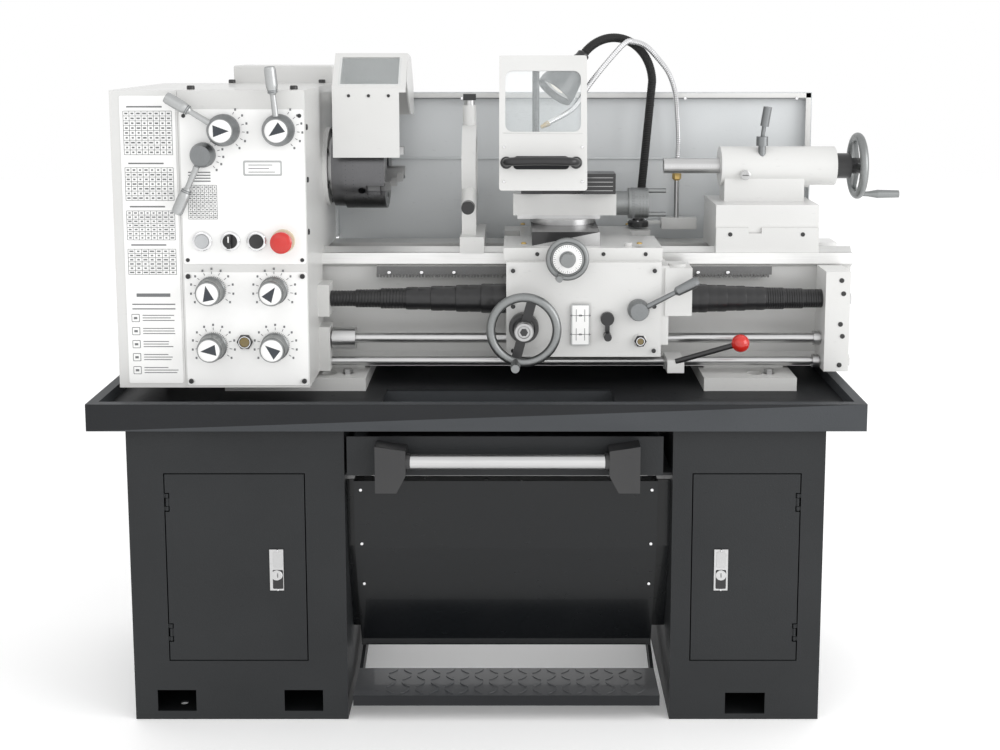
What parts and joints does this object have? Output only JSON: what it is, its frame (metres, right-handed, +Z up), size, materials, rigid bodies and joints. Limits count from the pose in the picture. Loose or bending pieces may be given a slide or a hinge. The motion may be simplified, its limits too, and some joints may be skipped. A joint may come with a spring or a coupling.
{
  "type": "metal lathe",
  "caption": "Floor-standing metal-turning lathe on a cabinet stand, with chuck, carriage, tailstock, guards, lamp, coolant pipe and foot treadle that move.",
  "frame": {"origin": "on the floor, in the middle of the four anchor-bolt holes in the cabinet bases", "axes": "+X along the bed towards the tailstock, +Y away from the operator, +Z up"},
  "size_m": [1.4588, 0.569, 1.1995],
  "materials": {
    "white_paint": "cream-white textured enamel",
    "slate_paint": "slate-grey hammered enamel",
    "steel": "ground steel",
    "iron": "grey cast iron",
    "black": "black moulded plastic",
    "black_steel": "black satin enamel",
    "white_plastic": "white moulded plastic",
    "red": "red moulded plastic",
    "chrome": "polished chrome"
  },
  "bodies": {
    "stand": {"left_cabinet": "slate_paint", "right_cabinet": "slate_paint", "chip_tray": "slate_paint", "knee_panel": "slate_paint", "bed": "white_paint", "rod_brackets": "white_paint", "screw_cover_left": "black_steel", "screw_cover_right": "black_steel", "headstock": "white_paint", "headstock_lid": "white_paint", "feed_gearbox": "white_paint", "motor_drive": "iron", "electrical_box": "white_paint", "splash_guard": "white_paint"},
    "left_door": {"left_door": "slate_paint"},
    "right_door": {"right_door": "slate_paint"},
    "chip_drawer": {"chip_drawer": "slate_paint"},
    "foot_pedal": {"foot_pedal": "slate_paint"},
    "leadscrew": {"leadscrew": "steel"},
    "feed_rod": {"feed_rod": "steel"},
    "control_rod": {"control_rod": "steel"},
    "end_cover": {"end_cover": "white_paint"},
    "spindle": {"spindle": "steel", "chuck_body": "steel"},
    "chuck_jaw_1": {"chuck_jaw_1": "steel"},
    "chuck_jaw_2": {"chuck_jaw_2": "steel"},
    "chuck_jaw_3": {"chuck_jaw_3": "steel"},
    "chuck_guard": {"chuck_guard": "white_paint"},
    "speed_lever_left": {"speed_lever_left": "black"},
    "speed_lever_right": {"speed_lever_right": "black"},
    "range_lever": {"range_lever": "black"},
    "feed_knob_1": {"feed_knob_1": "chrome"},
    "feed_knob_2": {"feed_knob_2": "chrome"},
    "feed_knob_3": {"feed_knob_3": "chrome"},
    "feed_knob_4": {"feed_knob_4": "chrome"},
    "jog_button": {"jog_button": "white_plastic"},
    "mode_switch": {"mode_switch": "black"},
    "start_button": {"start_button": "black"},
    "stop_button": {"stop_button": "red"},
    "carriage": {"saddle": "white_paint", "apron": "white_paint", "lamp": "black_steel", "coolant_pipe": "steel"},
    "carriage_wheel": {"carriage_wheel": "black"},
    "cross_wheel": {"cross_wheel": "black"},
    "half_nut_lever": {"half_nut_lever": "black"},
    "feed_lever": {"feed_lever": "black"},
    "start_lever": {"start_lever": "black_steel"},
    "cross_slide": {"cross_slide": "steel"},
    "swivel_base": {"swivel_base": "steel"},
    "top_slide": {"top_slide": "steel"},
    "top_wheel": {"top_wheel": "steel"},
    "tool_post": {"tool_post": "black_steel"},
    "tool_guard": {"tool_guard": "white_paint"},
    "tailstock": {"tailstock_base": "white_paint", "tailstock_body": "white_paint"},
    "quill": {"quill": "steel"},
    "tailstock_wheel": {"tailstock_wheel": "chrome"},
    "quill_lock": {"quill_lock": "black"},
    "steady_rest": {"steady_rest": "iron"}
  },
  "joints": [
    {"name": "left_door_swing", "type": "hinge", "parent": "stand", "child": "left_door", "pos_m": [-0.535, -0.212, 0.278], "axis": [0, 0, 1], "range_deg": [-95, 0]},
    {"name": "right_door_swing", "type": "hinge", "parent": "stand", "child": "right_door", "pos_m": [0.554, -0.212, 0.278], "axis": [0, 0, 1], "range_deg": [0, 95]},
    {"name": "drawer_slide", "type": "slide", "parent": "stand", "child": "chip_drawer", "axis": [0, -1, 0], "range_m": [0, 0.22]},
    {"name": "pedal_pivot", "type": "hinge", "parent": "stand", "child": "foot_pedal", "pos_m": [0, 0.14, 0.118], "axis": [1, 0, 0], "range_deg": [0, 4], "stiffness_Nm_per_rad": 60, "springref_deg": -16},
    {"name": "leadscrew_turn", "type": "hinge", "parent": "stand", "child": "leadscrew", "pos_m": [0, -0.0385, 0.72], "axis": [1, 0, 0], "continuous": true},
    {"name": "feed_rod_turn", "type": "hinge", "parent": "stand", "child": "feed_rod", "pos_m": [0, -0.0385, 0.647], "axis": [1, 0, 0], "continuous": true},
    {"name": "spindle_turn", "type": "hinge", "parent": "stand", "child": "spindle", "pos_m": [0, 0.098, 0.95], "axis": [1, 0, 0], "continuous": true},
    {"name": "jaw_1_slide", "type": "slide", "parent": "spindle", "child": "chuck_jaw_1", "axis": [0, 0, 1], "range_m": [-0.006, 0.012]},
    {"name": "jaw_2_slide", "type": "slide", "parent": "spindle", "child": "chuck_jaw_2", "axis": [0, -0.866, -0.5], "range_m": [-0.006, 0.012]},
    {"name": "jaw_3_slide", "type": "slide", "parent": "spindle", "child": "chuck_jaw_3", "axis": [0, 0.866, -0.5], "range_m": [-0.006, 0.012]},
    {"name": "end_cover_swing", "type": "hinge", "parent": "stand", "child": "end_cover", "pos_m": [-0.509, 0.204, 0.846], "axis": [0, 0, 1], "range_deg": [-90, 0]},
    {"name": "guard_swing", "type": "hinge", "parent": "stand", "child": "chuck_guard", "pos_m": [-0.261, 0.18, 1.067], "axis": [1, 0, 0], "range_deg": [-50, 0]},
    {"name": "speed_left_turn", "type": "hinge", "parent": "stand", "child": "speed_lever_left", "pos_m": [-0.427, -0.175, 1.036], "axis": [0, 1, 0], "range_deg": [0, 50]},
    {"name": "speed_right_turn", "type": "hinge", "parent": "stand", "child": "speed_lever_right", "pos_m": [-0.334, -0.175, 1.036], "axis": [0, 1, 0], "range_deg": [0, 50]},
    {"name": "range_turn", "type": "hinge", "parent": "stand", "child": "range_lever", "pos_m": [-0.463, -0.175, 0.994], "axis": [0, 1, 0], "range_deg": [-45, 0]},
    {"name": "feed_knob_1_turn", "type": "hinge", "parent": "stand", "child": "feed_knob_1", "pos_m": [-0.455, -0.175, 0.761], "axis": [0, 1, 0], "range_deg": [-90, 90]},
    {"name": "feed_knob_2_turn", "type": "hinge", "parent": "stand", "child": "feed_knob_2", "pos_m": [-0.348, -0.175, 0.761], "axis": [0, 1, 0], "range_deg": [-90, 90]},
    {"name": "feed_knob_3_turn", "type": "hinge", "parent": "stand", "child": "feed_knob_3", "pos_m": [-0.455, -0.175, 0.663], "axis": [0, 1, 0], "range_deg": [-90, 90]},
    {"name": "feed_knob_4_turn", "type": "hinge", "parent": "stand", "child": "feed_knob_4", "pos_m": [-0.348, -0.175, 0.663], "axis": [0, 1, 0], "range_deg": [-90, 90]},
    {"name": "mode_switch_turn", "type": "hinge", "parent": "stand", "child": "mode_switch", "pos_m": [-0.421, -0.175, 0.846], "axis": [0, 1, 0], "range_deg": [-45, 45]},
    {"name": "jog_press", "type": "slide", "parent": "stand", "child": "jog_button", "axis": [0, 1, 0], "range_m": [0, 0.004], "stiffness_N_per_m": 1200, "springref_m": -0.003},
    {"name": "start_press", "type": "slide", "parent": "stand", "child": "start_button", "axis": [0, 1, 0], "range_m": [0, 0.004], "stiffness_N_per_m": 1200, "springref_m": -0.003},
    {"name": "stop_press", "type": "slide", "parent": "stand", "child": "stop_button", "axis": [0, 1, 0], "range_m": [0, 0.004], "stiffness_N_per_m": 1200, "springref_m": -0.003},
    {"name": "carriage_slide", "type": "slide", "parent": "stand", "child": "carriage", "axis": [1, 0, 0], "range_m": [-0.025, 0.06], "deforming": ["screw_cover_left", "screw_cover_right"]},
    {"name": "carriage_wheel_turn", "type": "hinge", "parent": "carriage", "child": "carriage_wheel", "pos_m": [0.08116, -0.106, 0.683], "axis": [0, 1, 0], "range_deg": [-180, 420]},
    {"name": "cross_wheel_turn", "type": "hinge", "parent": "carriage", "child": "cross_wheel", "pos_m": [0.15716, -0.086, 0.80805], "axis": [0, 1, 0], "range_deg": [-1850, 1850]},
    {"name": "cross_slide_travel", "type": "slide", "parent": "carriage", "child": "cross_slide", "axis": [0, 1, 0], "range_m": [-0.02, 0.02]},
    {"name": "half_nut_turn", "type": "hinge", "parent": "carriage", "child": "half_nut_lever", "pos_m": [0.28416, -0.106, 0.713], "axis": [0, 1, 0], "range_deg": [0, 35]},
    {"name": "feed_lever_turn", "type": "hinge", "parent": "carriage", "child": "feed_lever", "pos_m": [0.22916, -0.106, 0.697], "axis": [0, 1, 0], "range_deg": [-30, 30]},
    {"name": "start_lever_turn", "type": "hinge", "parent": "carriage", "child": "start_lever", "pos_m": [0.35316, -0.0385, 0.604], "axis": [1, 0, 0], "range_deg": [-12, 12]},
    {"name": "control_rod_turn", "type": "hinge", "parent": "stand", "child": "control_rod", "pos_m": [0, -0.0385, 0.604], "axis": [1, 0, 0], "range_deg": [-12, 12]},
    {"name": "swivel_turn", "type": "hinge", "parent": "cross_slide", "child": "swivel_base", "pos_m": [0.15716, 0.085, 0.8451], "axis": [0, 0, 1], "range_deg": [-20, 4]},
    {"name": "top_slide_travel", "type": "slide", "parent": "swivel_base", "child": "top_slide", "axis": [1, 0, 0], "range_m": [-0.02, 0.02]},
    {"name": "top_wheel_turn", "type": "hinge", "parent": "top_slide", "child": "top_wheel", "pos_m": [0.25516, 0.085, 0.8802], "axis": [1, 0, 0], "range_deg": [-2000, 2000]},
    {"name": "tool_post_turn", "type": "hinge", "parent": "top_slide", "child": "tool_post", "pos_m": [0.14916, 0.085, 0.9012], "axis": [0, 0, 1], "range_deg": [-20, 20]},
    {"name": "tool_guard_swing", "type": "hinge", "parent": "cross_slide", "child": "tool_guard", "pos_m": [0.06716, 0.002, 1.141], "axis": [1, 0, 0], "range_deg": [-90, 0]},
    {"name": "tailstock_slide", "type": "slide", "parent": "stand", "child": "tailstock", "axis": [1, 0, 0], "range_m": [0, 0.05]},
    {"name": "quill_slide", "type": "slide", "parent": "tailstock", "child": "quill", "axis": [1, 0, 0], "range_m": [-0.05, 0.07]},
    {"name": "tailstock_wheel_turn", "type": "hinge", "parent": "tailstock", "child": "tailstock_wheel", "pos_m": [0.71582, 0.098, 0.95], "axis": [1, 0, 0], "range_deg": [-5100, 3700]},
    {"name": "quill_lock_turn", "type": "hinge", "parent": "tailstock", "child": "quill_lock", "pos_m": [0.52982, 0.074, 0.983], "axis": [0, 0, 1], "range_deg": [-60, 60]},
    {"name": "steady_slide", "type": "slide", "parent": "stand", "child": "steady_rest", "axis": [1, 0, 0], "range_m": [-0.05, 0]}
  ],
  "couplings": [
    {"joint": "feed_rod_turn", "follows": "spindle_turn", "ratio": 0.1},
    {"joint": "leadscrew_turn", "follows": "spindle_turn", "ratio": 0.25},
    {"joint": "jaw_2_slide", "follows": "jaw_1_slide", "ratio": 1},
    {"joint": "jaw_3_slide", "follows": "jaw_1_slide", "ratio": 1},
    {"joint": "carriage_wheel_turn", "follows": "carriage_slide", "rad_per_m": 120.83},
    {"joint": "cross_wheel_turn", "follows": "cross_slide_travel", "rad_per_m": 1570.8},
    {"joint": "top_wheel_turn", "follows": "top_slide_travel", "rad_per_m": 1570.8},
    {"joint": "tailstock_wheel_turn", "follows": "quill_slide", "rad_per_m": -1256.6},
    {"joint": "control_rod_turn", "follows": "start_lever_turn", "ratio": 1}
  ]
}
